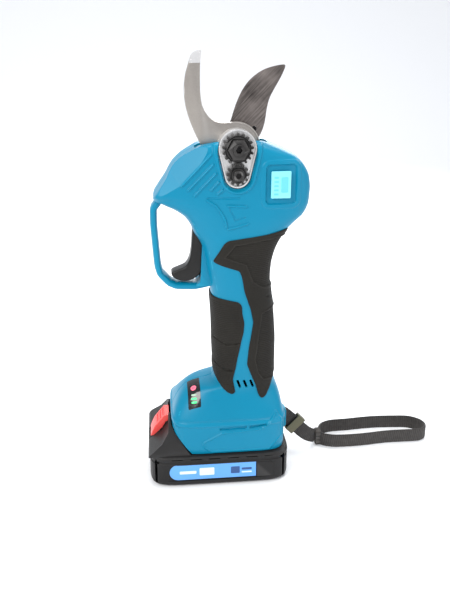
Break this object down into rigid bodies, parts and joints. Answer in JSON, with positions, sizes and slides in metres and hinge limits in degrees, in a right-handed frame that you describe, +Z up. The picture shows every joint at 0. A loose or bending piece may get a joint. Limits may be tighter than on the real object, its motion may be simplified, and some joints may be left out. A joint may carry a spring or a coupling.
{
  "type": "battery electric pruner",
  "caption": "Pistol-grip electric pruner: fixed hook blade, geared moving blade, finger guard, trigger, rubber grip panels, clip-on battery foot and wrist strap.",
  "frame": {"origin": "centre of the battery's flat bottom face", "axes": "+Z up along the grip, -X towards the trigger and the hook, the pictured side faces -Y"},
  "size_m": [0.2419, 0.075, 0.3214],
  "materials": {
    "housing_blue": "fine moulded texture",
    "black_screw": "black oxide",
    "grip_rubber": "ribbed and matt",
    "badge_film": "printed film",
    "hook_steel": "satin",
    "blade_steel": "ground",
    "gear_steel": "machined",
    "cast_aluminium": "machined casting",
    "bronze": "turned",
    "black_oxide": "black oxide",
    "motor_steel": "plated",
    "copper_winding": "enamelled wire",
    "black_plastic": "moulded",
    "lead_sleeve": "silicone sleeve",
    "spring_steel": "bright wire",
    "panel_gloss": "gloss",
    "red_plastic": "moulded",
    "led_green": "clear tinted",
    "board_green": "solder mask",
    "copper_contact": "plated",
    "battery_plastic": "fine texture",
    "cell_sleeve": "shrink sleeve",
    "label_film": "printed film",
    "webbing": "woven",
    "slider_metal": "satin"
  },
  "bodies": {
    "tool": {"shell_front": "housing_blue", "shell_rear": "housing_blue", "shell_screws": "black_screw", "grip_front_near": "grip_rubber", "grip_rear_near": "grip_rubber", "grip_front_far": "grip_rubber", "grip_rear_far": "grip_rubber", "badge": "badge_film", "hook_blade": "hook_steel", "hook_screws": "black_screw", "front_plate": "cast_aluminium", "case_screws": "black_screw", "gear_case": "cast_aluminium", "thrust_washer": "bronze", "pivot_bolt": "black_screw", "toothed_nut": "black_oxide", "lock_pinion": "black_oxide", "lock_screw": "black_screw", "pinion_bush": "bronze", "ring_gear": "gear_steel", "motor_can": "motor_steel", "stator": "copper_winding", "motor_cap": "black_plastic", "motor_leads": "lead_sleeve", "trigger_pin": "gear_steel", "trigger_switch": "black_plastic", "trigger_spring": "spring_steel", "led_panel": "panel_gloss", "led_bars": "led_green", "control_board": "board_green", "terminal_block": "black_plastic", "terminals": "copper_contact", "strap_short": "webbing", "strap_slider": "slider_metal", "strap_junction": "webbing", "strap_loop": "webbing"},
    "blade": {"moving_blade": "blade_steel", "fan_gear": "gear_steel", "drive_pins": "gear_steel"},
    "carrier": {"bevel_pinion": "gear_steel", "carrier": "gear_steel"},
    "planet_a": {"planet_1": "gear_steel"},
    "planet_b": {"planet_2": "gear_steel"},
    "planet_c": {"planet_3": "gear_steel"},
    "rotor": {"rotor": "motor_steel", "sun_gear": "bronze"},
    "trigger": {"trigger": "black_plastic"},
    "power_button": {"power_button": "red_plastic"},
    "battery": {"battery_tub": "battery_plastic", "battery_top": "battery_plastic", "cells": "cell_sleeve", "cell_board": "board_green", "battery_clips": "copper_contact", "battery_label": "label_film", "battery_screws": "black_screw", "latch_spring": "spring_steel"},
    "latch": {"battery_latch": "red_plastic"}
  },
  "joints": [
    {"name": "blade_pivot", "type": "hinge", "parent": "tool", "child": "blade", "pos_m": [0.014, 0, 0.258], "axis": [0, -1, 0], "range_deg": [0, 56]},
    {"name": "pinion_spin", "type": "hinge", "parent": "tool", "child": "carrier", "pos_m": [0.014, 0, 0.2], "axis": [0, 0, -1], "range_deg": [-5, 190]},
    {"name": "planet_a_spin", "type": "hinge", "parent": "carrier", "child": "planet_a", "pos_m": [0.014, 0.009, 0.194], "axis": [0, 0, -1], "range_deg": [-570, 10]},
    {"name": "planet_b_spin", "type": "hinge", "parent": "carrier", "child": "planet_b", "pos_m": [0.00621, -0.0045, 0.194], "axis": [0, 0, -1], "range_deg": [-570, 10]},
    {"name": "planet_c_spin", "type": "hinge", "parent": "carrier", "child": "planet_c", "pos_m": [0.02179, -0.0045, 0.194], "axis": [0, 0, -1], "range_deg": [-570, 10]},
    {"name": "rotor_spin", "type": "hinge", "parent": "tool", "child": "rotor", "pos_m": [0.014, 0, 0.16], "axis": [0, 0, -1], "range_deg": [-10, 760]},
    {"name": "trigger_pull", "type": "hinge", "parent": "tool", "child": "trigger", "pos_m": [-0.012, 0, 0.205], "axis": [0, -1, 0], "range_deg": [0, 7], "stiffness_Nm_per_rad": 1.2, "springref_deg": -8.59, "deforming": ["trigger_spring"]},
    {"name": "power_press", "type": "slide", "parent": "tool", "child": "power_button", "axis": [0, 0.5, -0.866], "range_m": [0, 0.0006], "stiffness_N_per_m": 600, "springref_m": -0.0005},
    {"name": "battery_slide", "type": "slide", "parent": "tool", "child": "battery", "axis": [-1, 0, 0], "range_m": [0, 0.1]},
    {"name": "latch_press", "type": "slide", "parent": "battery", "child": "latch", "axis": [0, 0, -1], "range_m": [0, 0.003], "stiffness_N_per_m": 800, "springref_m": -0.001, "deforming": ["latch_spring"]}
  ],
  "couplings": [
    {"joint": "pinion_spin", "follows": "blade_pivot", "ratio": 3.3333},
    {"joint": "planet_a_spin", "follows": "blade_pivot", "ratio": -10},
    {"joint": "planet_b_spin", "follows": "blade_pivot", "ratio": -10},
    {"joint": "planet_c_spin", "follows": "blade_pivot", "ratio": -10},
    {"joint": "rotor_spin", "follows": "blade_pivot", "ratio": 13.333}
  ]
}
